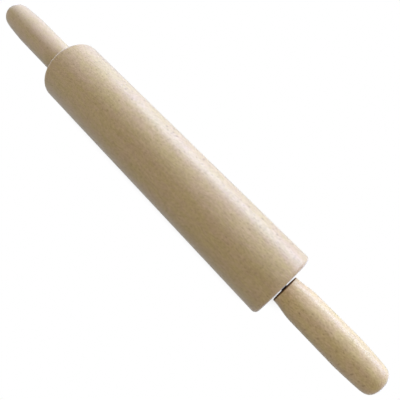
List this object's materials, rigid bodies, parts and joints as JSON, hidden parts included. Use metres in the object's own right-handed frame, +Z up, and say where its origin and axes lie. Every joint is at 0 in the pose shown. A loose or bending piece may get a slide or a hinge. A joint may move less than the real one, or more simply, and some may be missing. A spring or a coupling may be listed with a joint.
{
  "type": "rolling pin",
  "caption": "Wooden rolling pin: a turned beech barrel with rounded rims rolls on ball bearings round a steel axle, between two smooth, round-nosed turned handles.",
  "frame": {"origin": "on the table, under the middle of the barrel, where the bottom flat of the barrel rests", "axes": "+X along the axle towards the right handle, +Z up from the table, +Y across the pin"},
  "size_m": [0.4248, 0.0546, 0.0546],
  "materials": {
    "beech_barrel": "fine-sanded bare beech with lengthwise grain, short pore flecks and pale end grain",
    "beech_handle": "fine-sanded bare beech, a little darker than the barrel",
    "axle_steel": "blackened steel rod, turned down at its ends",
    "bearing_steel": "ground bearing steel",
    "ball_steel": "polished hardened steel",
    "shield_steel": "pressed sheet steel",
    "cage_nylon": "moulded natural nylon"
  },
  "bodies": {
    "barrel": {"barrel": "beech_barrel", "bearing_outer_ring_left": "bearing_steel", "bearing_outer_ring_right": "bearing_steel", "bearing_shield_outer_left": "shield_steel", "bearing_shield_inner_left": "shield_steel", "bearing_shield_outer_right": "shield_steel", "bearing_shield_inner_right": "shield_steel"},
    "axle_and_handles": {"axle": "axle_steel", "handle_left": "beech_handle", "handle_right": "beech_handle", "bearing_inner_ring_left": "bearing_steel", "bearing_inner_ring_right": "bearing_steel"},
    "ball_set_left": {"bearing_cage_left": "cage_nylon", "bearing_ball_left_1": "ball_steel", "bearing_ball_left_2": "ball_steel", "bearing_ball_left_3": "ball_steel", "bearing_ball_left_4": "ball_steel", "bearing_ball_left_5": "ball_steel", "bearing_ball_left_6": "ball_steel"},
    "ball_set_right": {"bearing_cage_right": "cage_nylon", "bearing_ball_right_1": "ball_steel", "bearing_ball_right_2": "ball_steel", "bearing_ball_right_3": "ball_steel", "bearing_ball_right_4": "ball_steel", "bearing_ball_right_5": "ball_steel", "bearing_ball_right_6": "ball_steel"}
  },
  "joints": [
    {"name": "axle_spin", "type": "hinge", "parent": "barrel", "child": "axle_and_handles", "pos_m": [0, 0, 0.0273], "axis": [1, 0, 0], "continuous": true},
    {"name": "ball_orbit_left", "type": "hinge", "parent": "barrel", "child": "ball_set_left", "pos_m": [-0.1215, 0, 0.0273], "axis": [1, 0, 0], "continuous": true},
    {"name": "ball_orbit_right", "type": "hinge", "parent": "barrel", "child": "ball_set_right", "pos_m": [0.1215, 0, 0.0273], "axis": [1, 0, 0], "continuous": true}
  ],
  "couplings": [
    {"joint": "ball_orbit_left", "follows": "axle_spin", "ratio": 0.3542},
    {"joint": "ball_orbit_right", "follows": "axle_spin", "ratio": 0.3542}
  ]
}
